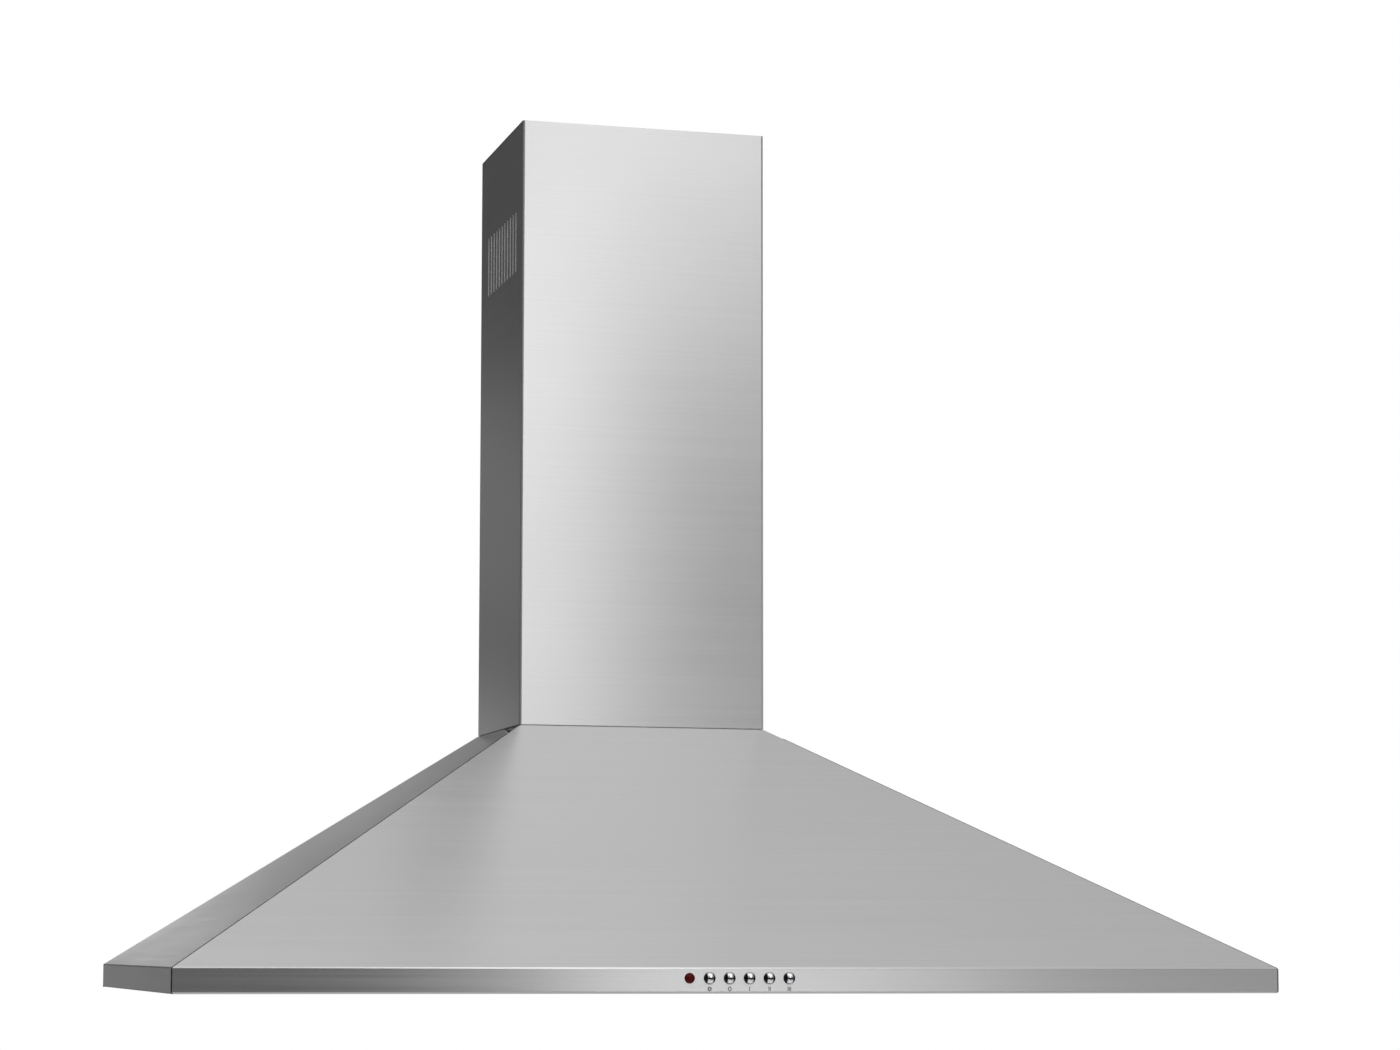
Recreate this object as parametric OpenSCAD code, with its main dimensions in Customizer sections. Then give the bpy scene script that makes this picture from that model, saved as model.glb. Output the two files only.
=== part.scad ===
// Wall-mounted chimney range hood: a pyramid canopy with a narrow rim, a chimney cover with a
// telescopic extension inside it, a twin-inlet blower, grease filters, lamps and push buttons.
// X runs to the right, Y runs back to the wall (the wall is the plane y = 0) and Z is up.
// The origin is on the wall face, at the middle of the canopy's lower edge. Units are millimetres.

/* [Canopy] */
// Width of the canopy
canopy_w = 900; // [890:2:910]
// Depth of the canopy, from its front to the wall
canopy_d = 500; // [498:1:504]
// Height of the upright rim band
rim_h = 20; // [20:0.5:22]
// Height of the sloping part above the rim
slope_h = 209; // [208:1:216]
// Width of the dark seam between two panels
seam = 1.1; // [0.5:0.1:1.1]

/* [Chimney] */
// Width of the chimney cover
chimney_w = 222.5; // [219:0.5:225]
// Depth of the chimney cover
chimney_d = 174; // [172:1:178]
// Height of the chimney cover
chimney_h = 537; // [520:0.5:560]
// Vent slots on each side of the chimney
slot_count = 11; // [7:1:11]
// Distance from one vent slot to the next
slot_pitch = 11.4; // [8:0.1:11.6]
// Width of a vent slot
slot_w = 4; // [3:0.5:4]
// Height of a vent slot
slot_h = 55; // [40:1:56]

/* [Controls] */
// Diameter of a push button
button_d = 9; // [9:0.5:10]
// Distance from one push button to the next
button_pitch = 16.2; // [15:0.1:17]
// Height of the push buttons above the canopy's lower edge
button_z = 12; // [11:0.5:12]
// Middle of the five buttons, to the right of the hood's middle
controls_x = 0.6; // [-3:0.1:3]
// Diameter of the indicator lamp
indicator_d = 8; // [6:0.5:8]

/* [Filters] */
// Width of one grease filter
filter_w = 264; // [256:1:265]
// Depth of one grease filter
filter_d = 330; // [310:1:330]
// Thickness of one grease filter
filter_t = 9; // [8:0.5:10]

/* [Blower] */
// Radius of the fan wheel
wheel_r = 68; // [60:1:70]
// Blades on the fan wheel
blade_count = 30; // [18:1:36]
// Outer radius of the duct spigot
spigot_r = 75; // [72:0.5:76]

/* [Lamps] */
// Distance of each lamp from the hood's middle
lamp_x = 300; // [260:5:330]
// Radius of a lamp's glass
lens_r = 27; // [22:0.5:28]

/* [Hidden] */
$fn = 64;

// Sheet metal
sheet = 1;
bend_r = 2;                 // outer radius of a folded corner
slip = 0.2;                 // gap between two pieces that only touch
over = 1;                   // how far a cutting solid runs past what it cuts
steel = [0.78, 0.78, 0.79];
zinc = [0.66, 0.67, 0.68];
black = [0.10, 0.10, 0.11];

// Canopy: half width, heights, and how far the inner faces of the slopes stand in from the outer ones
half_w = canopy_w / 2;
top_z = rim_h + slope_h;
side_run = half_w - chimney_w / 2;
front_run = canopy_d - chimney_d;
side_in = sheet / sin(atan(slope_h / side_run));
front_in = sheet / sin(atan(slope_h / front_run));
flange_w = 12;              // return flange under the rim
hip_flange = 8;             // flange folded in along each hip seam
hip_end = 0.93;             // share of the hip that the flange runs up, to just under the deck
notch_y = -107;             // relief notch at the top front corner of each side panel
notch_z = 9;

// Wall fixings in the back panel
anchor_x = 250;
anchor_z = 60;
anchor_r = 3.5;
keyhole_x = 130;
keyhole_z = 165;
keyhole_r = 7;
keyhole_slot_r = 3.5;
keyhole_rise = 14;

// Chimney cover, its extension and the bracket on the wall
chimney_z = top_z + 0.5;
chimney_top = chimney_z + chimney_h;
slot_drop = 77;             // from the chimney's top to the slots' top
slot_first = 28.5;          // from the chimney's front to the first slot's rear edge
cover_flange = 18;
ext_gap = 0.8;              // sliding gap between the cover and the extension
ext_flange = 15;
ext_z = chimney_z + 30;
ext_drop = 3;               // the extension's top sits this far below the cover's
ext_screw_r = 2.1;
ext_screw_drop = 18;
bracket_z = chimney_top - 62;
bracket_h = 30;
bracket_t = 1.5;
bracket_half = 84;
bracket_arm = 70;
bracket_hole_x = 60;
bracket_hole_r = 3;

// Collar on the canopy's top, which the chimney stands round
deck_drop = 9;              // from the canopy's top to the deck's underside
deck_z = top_z - deck_drop;
collar_rise = 20;
collar_x = chimney_w / 2 - side_in - slip;
collar_front = -chimney_d + front_in + 2 * slip;
collar_back = -sheet - slip;
deck_gap = 1.5;             // between the deck's edges and the slopes above them
deck_rise = (deck_drop - sheet) / slope_h;
deck_x = chimney_w / 2 + side_run * deck_rise - side_in - deck_gap;
deck_front = -chimney_d - front_run * deck_rise + front_in + deck_gap;

// Underside panel, which lies on the rim's return flange
panel_z = sheet;
panel_top = panel_z + sheet;
filter_bar = 12;            // between two filters
filter_gap = 1.5;           // round a filter
opening_rear = -34;
filter_rear = opening_rear - 4.5;
filter_front = filter_rear - filter_d;
filter_x = [-(filter_w + filter_bar), 0, filter_w + filter_bar];
frame_t = 1.2;
frame_lip = 9;
bead_r = 1.2;               // rolled bead that hooks over the panel's rear edge
bead_y = opening_rear - 0.3;
bead_z = panel_top + bead_r + 0.1;
tab_x = 80;
tab_w = 30;
tab_t = 0.8;
latch_w = 50;
latch_d = 18;
latch_case_d = 32;
latch_travel = 6;
tongue_w = 30;
mesh_sheet = 0.7;

// Lamps
lamp_y = -432;
lamp_can_h = 27;
bezel_r = lens_r + 7;
bezel_lip = 3;
can_r = lens_r + 2;
socket_r = 8;
bulb_r = 4.5;

// Push buttons and their switch
button_r = button_d / 2;
button_fit = 0.3;
button_proud = 0.6;         // length of skirt in front of the rim
skirt_l = 8;
skirt_rear = -canopy_d - button_proud + skirt_l;
stem_r = 2.5;
stem_fit = 0.08;
button_travel = 2.5;
switch_front = -canopy_d + sheet + 0.3;
switch_back = -canopy_d + 35;
switch_bottom = panel_top + slip;
switch_top = rim_h - 1.2;
spring_space = 4;
switch_x0 = controls_x - 3 * button_pitch - 10;
switch_x1 = controls_x + 2 * button_pitch + 10;
ear_w = 10;
board_y = switch_back + 8;
board_t = 1.6;
board_h = 24;
contact_w = 6;
indicator_x = controls_x - 3 * button_pitch;
indicator_r = indicator_d / 2;

// Blower: fan axis, scroll and outlet
chimney_mid = -chimney_d / 2;
outlet_d = 92;
outlet_half_w = 56;
outlet_rear = chimney_mid + outlet_d / 2;
outlet_front = chimney_mid - outlet_d / 2;
scroll_r0 = wheel_r + 12;
scroll_r1 = wheel_r + 37;
axis_y = outlet_rear - scroll_r1;
axis_z = 126;
scroll_start = acos((outlet_front - axis_y) / scroll_r0);
scroll_steps = 40;
flange_x = 70;
flange_over = 14;
inlet_r = wheel_r - 12;
wheel_half = 50;
hub_r = 12;
shaft_r = 4;
shaft_fit = 0.06;
motor_r = 38;
motor_x0 = 14;
motor_x1 = 64;
arm_r = 66;
screw_r = 2;
screw_head_r = 4;
screw_head_h = 2;
blower_screw_x = 64;
blower_screw_y = 53;
small_screw_r = 1.5;
small_head_r = 2.8;
capacitor_r = 15;
capacitor_l = 50;
capacitor_x = -88;

// Duct spigot with its two damper flaps
collar_base = 80;
collar_base_t = 2;
spigot_wall = 2.5;
spigot_h = 55;
spigot_z = deck_z + sheet;
damper_z = spigot_z + 28;
pin_r = 1.5;
pin_fit = 0.08;
knuckle_r = 3;
knuckle_l = 18;
flap_t = 1.2;
flap_gap = 1;
flap_slot = 1;              // from the knuckles to the inner edge of the other flap
ledge_w = 3;
ledge_t = 1.5;
ledge_z = damper_z - flap_t / 2 - 0.3;

// Junction box on the back panel, right of the blower
box_x = 200;
box_z = 85;
box_w = 80;
box_d = 50;
box_h = 50;
box_wall = 2;
box_y = -sheet - slip;
box_screw_x = [box_x - box_w / 2 + 6, box_x + box_w / 2 - 6];
gland_r = 9;
gland_bore = 4.5;
gland_l = 22;
lead_r = 2.5;

// Lead routes, in hand-picked round numbers
entry_y = -30;              // where the leads pass the junction box's sides
entry_r = 4;
entry_high = 100;
entry_mid = 85;
entry_low = 70;
motor_route = [[170, entry_y, entry_high], [152, entry_y, entry_high], [130, -32, 106], [105, -70, 120],
               [88, -115, 126], [77, -150, 126]];
switch_route = [[230, entry_y, entry_mid], [248, entry_y, entry_mid], [262, -45, 84], [268, -150, 74],
                [262, -260, 46], [235, -360, 22], [170, -430, 16], [90, -448, 14], [43, -452, 14]];
right_route = [[230, entry_y, entry_low], [248, entry_y, entry_low], [262, -38, 68], [285, -70, 64],
               [318, -170, 50], [326, -290, 36], [320, -380, 34], [312, -420, 35]];
left_route = [[170, entry_y, entry_low], [152, entry_y, entry_low], [138, -28, 62], [120, -24, 24],
              [0, -22, 18], [-160, -30, 20], [-290, -90, 36], [-325, -220, 40], [-320, -360, 34],
              [-312, -420, 35]];

// ---------- helpers ----------

// A closed solid between two four-sided faces whose corners are listed the same way round
module slab(a, b)
    polyhedron(points = concat(a, b),
        faces = [[0, 1, 2, 3], [7, 6, 5, 4], [0, 4, 5, 1], [1, 5, 6, 2], [2, 6, 7, 3], [3, 7, 4, 0]]);

// A block given by its lowest and highest corners
module block(low, high)
    translate(low)
        cube(high - low);

// A cylinder along X, Y or Z from one coordinate to another
module rod_x(r, x0, x1, y = 0, z = 0)
    translate([x0, y, z])
        rotate([0, 90, 0])
            cylinder(r = r, h = x1 - x0);

module rod_y(r, y0, y1, x = 0, z = 0)
    translate([x, y1, z])
        rotate([90, 0, 0])
            cylinder(r = r, h = y1 - y0);

module rod_z(r, z0, z1, x = 0, y = 0)
    translate([x, y, z0])
        cylinder(r = r, h = z1 - z0);

// A pan-head screw, head down on z = 0 and shank up, or turned by its caller
module screw(head_r, head_h, shank_r, shank_l) {
    rod_z(head_r, -head_h, 0);
    rod_z(shank_r, -head_h / 2, shank_l);
}

// Corner of the pyramid's hip, s in from its outer faces: x and y at the bottom or top
function hip_low(s) = [-(half_w - s / sheet * side_in), -(canopy_d - s / sheet * front_in), rim_h];
function hip_high(s) = [-(chimney_w / 2 - s / sheet * side_in), -(chimney_d - s / sheet * front_in), top_z];
// One face of the flange behind the seam, s in from the pyramid's outer faces
function hip_strip(s) =
    let (low = hip_low(s) + [seam, 0, 0], high = low + hip_end * (hip_high(s) - hip_low(s)))
    [low, high, high + [sheet, 0, 0], low + [sheet, 0, 0]];

// A point on a smooth curve through the points p, at t counted in points
function clamped(p, i) = p[max(0, min(len(p) - 1, i))];
function smooth(p, t) =
    let (i = min(floor(t), len(p) - 2), u = t - i,
         a = clamped(p, i - 1), b = clamped(p, i), c = clamped(p, i + 1), d = clamped(p, i + 2))
    0.5 * (2 * b + (c - a) * u + (2 * a - 5 * b + 4 * c - d) * u * u + (3 * b - 3 * c + d - a) * u * u * u);

// A flexible lead: an eight-sided tube swept along a route
module lead(route, r = lead_r, sides = 8, per_span = 4) {
    n = (len(route) - 1) * per_span;
    path = [for (k = [0:n]) smooth(route, k / per_span)];
    rings = [for (k = [0:n])
        let (d = path[min(n, k + 1)] - path[max(0, k - 1)], f = d / norm(d),
             s = cross([0, 0, 1], f), u = s / norm(s), v = cross(f, u))
        for (j = [0:sides - 1]) path[k] + r * (cos(360 * j / sides) * u + sin(360 * j / sides) * v)];
    polyhedron(points = rings, faces = concat(
        [[for (j = [0:sides - 1]) j]],
        [for (k = [0:n - 1], j = [0:sides - 1]) let (m = (j + 1) % sides)
            [k * sides + j, (k + 1) * sides + j, (k + 1) * sides + m, k * sides + m]],
        [[for (j = [sides - 1:-1:0]) n * sides + j]]));
}

// ---------- canopy ----------

// Cross-section of a folded panel: return flange, upright rim and a slope that rises to top_z over run
module panel_section(reach, run)
    difference() {
        folded_region(reach, run, 0);
        folded_region(reach, run, sheet);
        translate([-reach + flange_w, -over])
            square([reach, 3 * over]);
        translate([-reach + run, -over])
            square([reach, top_z]);
    }

// What lies inside that panel, e in from its outer face, with round folds
module folded_region(reach, run, e)
    offset(delta = -e)
        offset(r = bend_r)
            offset(delta = -bend_r)
                polygon([[-reach, 0], [-reach, rim_h], [-reach + run, top_z], [reach, top_z], [reach, 0]]);

// A hole through the front of the rim, in the row of buttons
module rim_hole(r, x)
    rod_y(r, -canopy_d - over, -canopy_d + sheet + over, x, button_z);

// Front slope with its hip flanges, the front of the rim with the button holes, and the return flange
module canopy_front_panel()
    color(steel) {
        difference() {
            intersection() {
                translate([-half_w, 0, 0])
                    rotate([90, 0, 90])
                        linear_extrude(canopy_w)
                            panel_section(canopy_d, front_run);
                linear_extrude(top_z)
                    polygon([[seam - half_w, -canopy_d], [half_w - seam, -canopy_d],
                             [chimney_w / 2 - seam, -chimney_d], [seam - chimney_w / 2, -chimney_d]]);
            }
            for (i = [0:4])
                rim_hole(button_r + button_fit, button_x(i));
            rim_hole(indicator_r + slip, indicator_x);
        }
        for (m = [0, 1])
            mirror([m, 0, 0])
                slab(hip_strip(sheet / 2), hip_strip(hip_flange));
    }

// Side slope with the relief notch by the chimney, the side of the rim and its return flange
module side_panel() {
    back = -sheet - slip;
    difference() {
        intersection() {
            rotate([90, 0, 0])
                linear_extrude(canopy_d)
                    panel_section(half_w, side_run);
            linear_extrude(top_z)
                polygon([[-half_w, -canopy_d], [-chimney_w / 2, -chimney_d],
                         [-chimney_w / 2, back], [-half_w, back]]);
        }
        translate([-half_w, 0, 0])
            rotate([90, 0, 90])
                linear_extrude(half_w)
                    polygon([[notch_y, top_z + over], [notch_y, top_z], [-chimney_d - 16, top_z - notch_z],
                             [-canopy_d / 2, top_z - notch_z], [-canopy_d / 2, top_z + over]]);
    }
}

module canopy_left_panel()
    color(steel)
        side_panel();

module canopy_right_panel()
    color(steel)
        mirror([1, 0, 0])
            side_panel();

// Upright back sheet, with two keyholes to hang the hood and two anchor holes lower down
module canopy_back_panel()
    color(zinc)
        rotate([90, 0, 0])
            linear_extrude(sheet)
                difference() {
                    polygon([[-half_w, 0], [half_w, 0], [half_w, rim_h], [chimney_w / 2, top_z],
                             [-chimney_w / 2, top_z], [-half_w, rim_h]]);
                    for (s = [-1, 1]) {
                        translate([s * anchor_x, anchor_z])
                            circle(anchor_r);
                        translate([s * keyhole_x, keyhole_z])
                            circle(keyhole_r);
                        translate([s * keyhole_x, keyhole_z + keyhole_rise])
                            circle(keyhole_slot_r);
                        translate([s * keyhole_x - keyhole_slot_r, keyhole_z])
                            square([2 * keyhole_slot_r, keyhole_rise]);
                    }
                }

// Deck that carries the blower, with an upright collar that the chimney stands round
module top_collar()
    color(zinc) {
        difference() {
            block([-deck_x, deck_front, deck_z], [deck_x, collar_back, deck_z + sheet]);
            block([-outlet_half_w, outlet_front, deck_z - over],
                  [outlet_half_w, outlet_rear, deck_z + 2 * over]);
            blower_screw_places()
                rod_z(screw_r + slip, deck_z - over, deck_z + 2 * over);
        }
        difference() {
            block([-collar_x, collar_front, deck_z], [collar_x, collar_back, deck_z + sheet + collar_rise]);
            block([-collar_x + sheet, collar_front + sheet, deck_z - over],
                  [collar_x - sheet, collar_back - sheet, deck_z + sheet + collar_rise + over]);
        }
    }

// Flat panel that closes the canopy from below, open for the filters and the lamps
module underside_panel()
    color(steel)
        difference() {
            block([-half_w + bend_r + slip, -canopy_d + bend_r + slip, panel_z],
                  [half_w - bend_r - slip, -sheet - slip, panel_top]);
            for (x = filter_x)
                block([x - filter_w / 2 - filter_gap, filter_front - filter_gap, panel_z - over],
                      [x + filter_w / 2 + filter_gap, opening_rear, panel_top + over]);
            for (s = [-1, 1])
                rod_z(can_r, panel_z - over, panel_top + over, s * lamp_x, lamp_y);
            switch_screw_places()
                rod_z(small_screw_r + slip, panel_z - over, panel_top + over);
        }

// ---------- grease filters ----------

// Channel frame with two hooked tabs at the rear and the case of its latch at the front
module filter_frame(x)
    color([0.80, 0.81, 0.82])
        translate([x, 0, panel_z]) {
            difference() {
                union() {
                    difference() {
                        block([-filter_w / 2, filter_front, 0], [filter_w / 2, filter_rear, filter_t]);
                        block([-filter_w / 2 + frame_t, filter_front + frame_t, frame_t],
                              [filter_w / 2 - frame_t, filter_rear - frame_t, filter_t - frame_t]);
                        block([-filter_w / 2 + frame_lip, filter_front + frame_lip, -over],
                              [filter_w / 2 - frame_lip, filter_rear - frame_lip, filter_t + over]);
                    }
                    block([-latch_w / 2 - 3, filter_front, 0],
                          [latch_w / 2 + 3, filter_front + latch_case_d, filter_t]);
                }
                block([-latch_w / 2 - 0.5, filter_front + frame_t, frame_t],
                      [latch_w / 2 + 0.5, filter_front + latch_case_d - frame_t, filter_t - frame_t]);
                block([-latch_w / 2 + 5, filter_front + 6, -over],
                      [latch_w / 2 - 5, filter_front + latch_case_d - 6, 2 * frame_t]);
                block([-tongue_w / 2 - 0.4, filter_front - over, filter_t / 2 - 1.2],
                      [tongue_w / 2 + 0.4, filter_front + 2 * frame_t, filter_t / 2 + 1.2]);
            }
            for (s = [-1, 1])
                translate([s * tab_x, 0, bead_z - panel_z]) {
                    rod_x(bead_r, -tab_w / 2, tab_w / 2, bead_y, 0);
                    block([-tab_w / 2, filter_rear - frame_t / 2, -tab_t / 2],
                          [tab_w / 2, bead_y, tab_t / 2]);
                }
        }

// Two sheets of expanded metal held in the frame's channel
module filter_mesh(x)
    color([0.72, 0.73, 0.74])
        translate([x, 0, panel_z])
            difference() {
                for (z = [frame_t + slip, filter_t - frame_t - slip - mesh_sheet])
                    block([-filter_w / 2 + frame_t + slip, filter_front + frame_t + slip, z],
                          [filter_w / 2 - frame_t - slip, filter_rear - frame_t - slip, z + mesh_sheet]);
                block([-latch_w / 2 - 3 - slip, filter_front, -over],
                      [latch_w / 2 + 3 + slip, filter_front + latch_case_d + slip, filter_t + over]);
            }

// Sliding latch with a finger cup underneath and a tongue at the front
module filter_latch(x)
    color(black)
        translate([x, filter_front, panel_z]) {
            difference() {
                block([-latch_w / 2, frame_t + 0.4, frame_t + 0.3],
                      [latch_w / 2, frame_t + 0.4 + latch_d, filter_t - frame_t - 0.3]);
                block([-latch_w / 2 + 9, 6, -over], [latch_w / 2 - 9, 15, filter_t - frame_t - 1.8]);
            }
            block([-tongue_w / 2, -filter_gap + 0.4, filter_t / 2 - 0.8],
                  [tongue_w / 2, frame_t + 1, filter_t / 2 + 0.8]);
        }

// ---------- lamps ----------

// Round can on top of the underside panel, with the lamp's ceramic socket inside
module lamp_housing(s)
    color(zinc)
        translate([s * lamp_x, lamp_y, panel_top]) {
            difference() {
                union() {
                    rod_z(can_r + 6, 0, sheet);
                    rod_z(can_r + sheet, 0, lamp_can_h);
                }
                rod_z(can_r, -over, lamp_can_h - sheet);
            }
            rod_z(socket_r, lamp_can_h - 11, lamp_can_h - sheet / 2);
        }

// Capsule bulb with its two pins in the socket
module lamp_bulb(s)
    color([0.95, 0.94, 0.86])
        translate([s * lamp_x, lamp_y, panel_top]) {
            rod_z(bulb_r, 9, lamp_can_h - 11 - slip);
            translate([0, 0, 9])
                sphere(r = bulb_r);
        }

// Frosted glass disc that lies on the bezel's lip
module lamp_glass(s)
    color([0.92, 0.95, 0.95])
        rod_z(lens_r, panel_z + slip / 2, panel_z + 3, s * lamp_x, lamp_y);

// Trim ring under the panel with a sleeve that reaches up round the glass
module lamp_bezel(s)
    color(steel)
        translate([s * lamp_x, lamp_y, 0])
            difference() {
                union() {
                    rod_z(bezel_r, 0, panel_z);
                    rod_z(can_r - slip, 0, panel_top + 8);
                }
                rod_z(lens_r + slip, panel_z, panel_top + 8 + over);
                rod_z(lens_r - bezel_lip, -over, 2 * panel_z);
            }

// ---------- controls ----------

function button_x(i) = controls_x + (i - 2) * button_pitch;

module switch_screw_places()
    for (x = [switch_x0 - ear_w / 2, switch_x1 + ear_w / 2])
        translate([x, (switch_front + switch_back) / 2, 0])
            children();

// Moulded block behind the rim, with a guide for each button and a seat for the indicator lamp
module switch_housing()
    color(black)
        difference() {
            union() {
                block([switch_x0, switch_front, switch_bottom], [switch_x1, switch_back, switch_top]);
                block([switch_x0 - ear_w, switch_front + 8, switch_bottom],
                      [switch_x1 + ear_w, switch_back - 8, switch_bottom + 2]);
            }
            for (i = [0:4])
                translate([button_x(i), 0, button_z]) {
                    rod_y(button_r + slip, switch_front - over, skirt_rear + spring_space);
                    rod_y(stem_r + stem_fit, switch_front - over, switch_back + over);
                }
            rod_y(indicator_r + slip / 2, switch_front - over, switch_front + 14, indicator_x, button_z);
            switch_screw_places()
                rod_z(small_screw_r + slip, switch_bottom - over, switch_bottom + 2 + over);
        }

// One chrome push button: domed head, skirt and stem
module push_button(i)
    color([0.86, 0.87, 0.88])
        translate([button_x(i), -canopy_d - button_proud, button_z]) {
            intersection() {
                sphere(r = button_r);
                rod_y(button_r + over, -button_r - over, 0);
            }
            rod_y(button_r, 0, skirt_l);
            rod_y(stem_r, skirt_l - over, switch_back + canopy_d + button_proud - over);
        }

// Circuit board behind the stems, with one contact block for each button
module switch_board()
    color([0.12, 0.33, 0.20]) {
        block([switch_x0, board_y, switch_bottom], [switch_x1, board_y + board_t, switch_bottom + board_h]);
        for (i = [0:4])
            block([button_x(i) - contact_w / 2, board_y - 4, button_z - contact_w / 2],
                  [button_x(i) + contact_w / 2, board_y + board_t / 2, button_z + contact_w / 2]);
        block([switch_x1 - 22, board_y, switch_bottom + 4],
              [switch_x1 - 4, board_y + board_t + 3, switch_bottom + 14]);
    }

// Two screws down through the switch's ears into the underside panel
module switch_screws()
    color(zinc)
        switch_screw_places()
            translate([0, 0, switch_bottom + 2 + slip / 2])
                rotate([180, 0, 0])
                    screw(small_head_r, 1.6, small_screw_r, switch_bottom + 2 - panel_z + 0.2);

// Red indicator lens: a shallow dome with a round body in the switch
module indicator_lens()
    color([0.45, 0.03, 0.02])
        translate([indicator_x, -canopy_d, button_z]) {
            intersection() {
                translate([0, 3, 0])
                    sphere(r = indicator_r + 1);
                rod_y(indicator_r, -4, 3);
            }
            rod_y(indicator_r, 2, 12);
        }

// ---------- blower ----------

function scroll_r(a) = scroll_r0 + (scroll_r1 - scroll_r0) * (a - scroll_start) / (360 - scroll_start);

// Outline of the scroll in Y and Z, with its walls e outside the air space
module scroll_outline(e, top) {
    first = acos((outlet_front - e - axis_y) / (scroll_r0 + e));
    polygon(concat(
        [for (k = [0:scroll_steps])
            let (a = first + (360 - first) * k / scroll_steps, r = scroll_r(a) + e)
            [axis_y + r * cos(a), axis_z + r * sin(a)]],
        [[outlet_rear + e, top], [outlet_front - e, top]]));
}

// Turns a Y-Z outline into a plate from x0 to x1
module plate_x(x0, x1)
    translate([x0, 0, 0])
        rotate([90, 0, 90])
            linear_extrude(x1 - x0)
                children();

module blower_screw_places()
    for (x = [-blower_screw_x, blower_screw_x], y = [-blower_screw_y, blower_screw_y])
        translate([x, chimney_mid + y, 0])
            children();

// Spiral band of the casing, with the flange that screws up to the deck
module blower_scroll()
    color(zinc) {
        plate_x(-outlet_half_w, outlet_half_w)
            difference() {
                scroll_outline(sheet, deck_z - slip);
                scroll_outline(0, deck_z + over);
            }
        difference() {
            block([-flange_x, outlet_front - flange_over, deck_z - slip - sheet],
                  [flange_x, outlet_rear + flange_over, deck_z - slip]);
            block([-outlet_half_w, outlet_front, deck_z - 2 * over - sheet],
                  [outlet_half_w, outlet_rear, deck_z + over]);
            for (m = [0, 1])
                mirror([m, 0, 0])
                    block([outlet_half_w - over, outlet_front - sheet - slip, deck_z - 2 * over - sheet],
                          [outlet_half_w + sheet + slip, outlet_rear + sheet + slip, deck_z + over]);
            blower_screw_places()
                rod_z(screw_r + slip, deck_z - 2 * over - sheet, deck_z + over);
        }
    }

// Side plate with the round inlet and its rolled mouth
module blower_side()
    difference() {
        union() {
            plate_x(outlet_half_w, outlet_half_w + sheet)
                scroll_outline(sheet, deck_z - slip);
            rod_x(inlet_r + 2, outlet_half_w - 4, outlet_half_w + 3, axis_y, axis_z);
        }
        rod_x(inlet_r, outlet_half_w - 5, outlet_half_w + 4, axis_y, axis_z);
        motor_arm_places()
            rod_x(small_screw_r + slip, outlet_half_w - over, outlet_half_w + sheet + over, 0, arm_r);
    }

module blower_side_left()
    color(zinc)
        mirror([1, 0, 0])
            blower_side();

module blower_side_right()
    color(zinc)
        blower_side();

// Screws up through the blower's flange, the deck and the duct spigot's base
module blower_screws()
    color(zinc)
        blower_screw_places()
            translate([0, 0, deck_z - slip - sheet - slip / 2])
                screw(screw_head_r, screw_head_h, screw_r, 8);

// One forward-curved blade of the wheel, in the plane across the axis
module blade_outline() {
    tip = wheel_r - 0.5;
    root = inlet_r + 1;
    bend = 26;
    steps = 5;
    function edge(k, side) =
        let (r = root + (tip - root) * k / steps, a = bend * pow(k / steps, 2))
        [r * cos(a) - side * 0.4 * sin(a + 40), r * sin(a) + side * 0.4 * cos(a + 40)];
    polygon(concat([for (k = [0:steps]) edge(k, 1)], [for (k = [steps:-1:0]) edge(k, -1)]));
}

// Twin-inlet wheel: hub, centre disc, a ring of blades and a rim at each end
module fan_wheel()
    color(zinc)
        translate([0, axis_y, axis_z])
            rotate([0, 90, 0])
                difference() {
                    union() {
                        rod_z(wheel_r, -0.8, 0.8);
                        rod_z(hub_r, -10, 10);
                        for (k = [0:blade_count - 1])
                            rotate([0, 0, 360 * k / blade_count])
                                translate([0, 0, -wheel_half])
                                    linear_extrude(2 * wheel_half)
                                        blade_outline();
                        for (z = [-wheel_half, wheel_half - 3])
                            difference() {
                                rod_z(wheel_r, z, z + 3);
                                rod_z(wheel_r - 5, z - over, z + 3 + over);
                            }
                    }
                    rod_z(shaft_r + 0.02, -12, 12);
                }

module motor_shaft()
    color([0.7, 0.7, 0.72])
        rod_x(shaft_r, -12, motor_x1 + 4, axis_y, axis_z);

// Motor can with end caps, bored for its shaft
module fan_motor()
    color([0.30, 0.31, 0.33])
        difference() {
            union() {
                rod_x(motor_r, motor_x0 + 4, motor_x1 - 4, axis_y, axis_z);
                rod_x(motor_r - 6, motor_x0, motor_x1, axis_y, axis_z);
            }
            rod_x(shaft_r + shaft_fit, motor_x0 - over, motor_x1 + over, axis_y, axis_z);
        }

module motor_arm_places()
    for (a = [90, 210, 330])
        translate([0, axis_y, axis_z])
            rotate([a - 90, 0, 0])
                children();

// Three-armed bracket that holds the motor in the right-hand inlet
module motor_bracket()
    color(zinc) {
        x0 = outlet_half_w + sheet + 3;
        difference() {
            union() {
                rod_x(motor_r + 5, x0, x0 + 2, axis_y, axis_z);
                motor_arm_places() {
                    block([x0, -6, motor_r], [x0 + 2, 6, arm_r + 6]);
                    block([outlet_half_w + sheet + slip, -6, arm_r - 6], [x0 + 2, 6, arm_r + 6]);
                }
            }
            rod_x(motor_r - 6 + slip, x0 - over, x0 + 2 + over, axis_y, axis_z);
            rod_x(motor_r + slip, x0 - over, motor_x1 - 4 + slip, axis_y, axis_z);
            motor_arm_places()
                rod_x(small_screw_r + slip, outlet_half_w, x0 + 2 + over, 0, arm_r);
        }
    }

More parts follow.
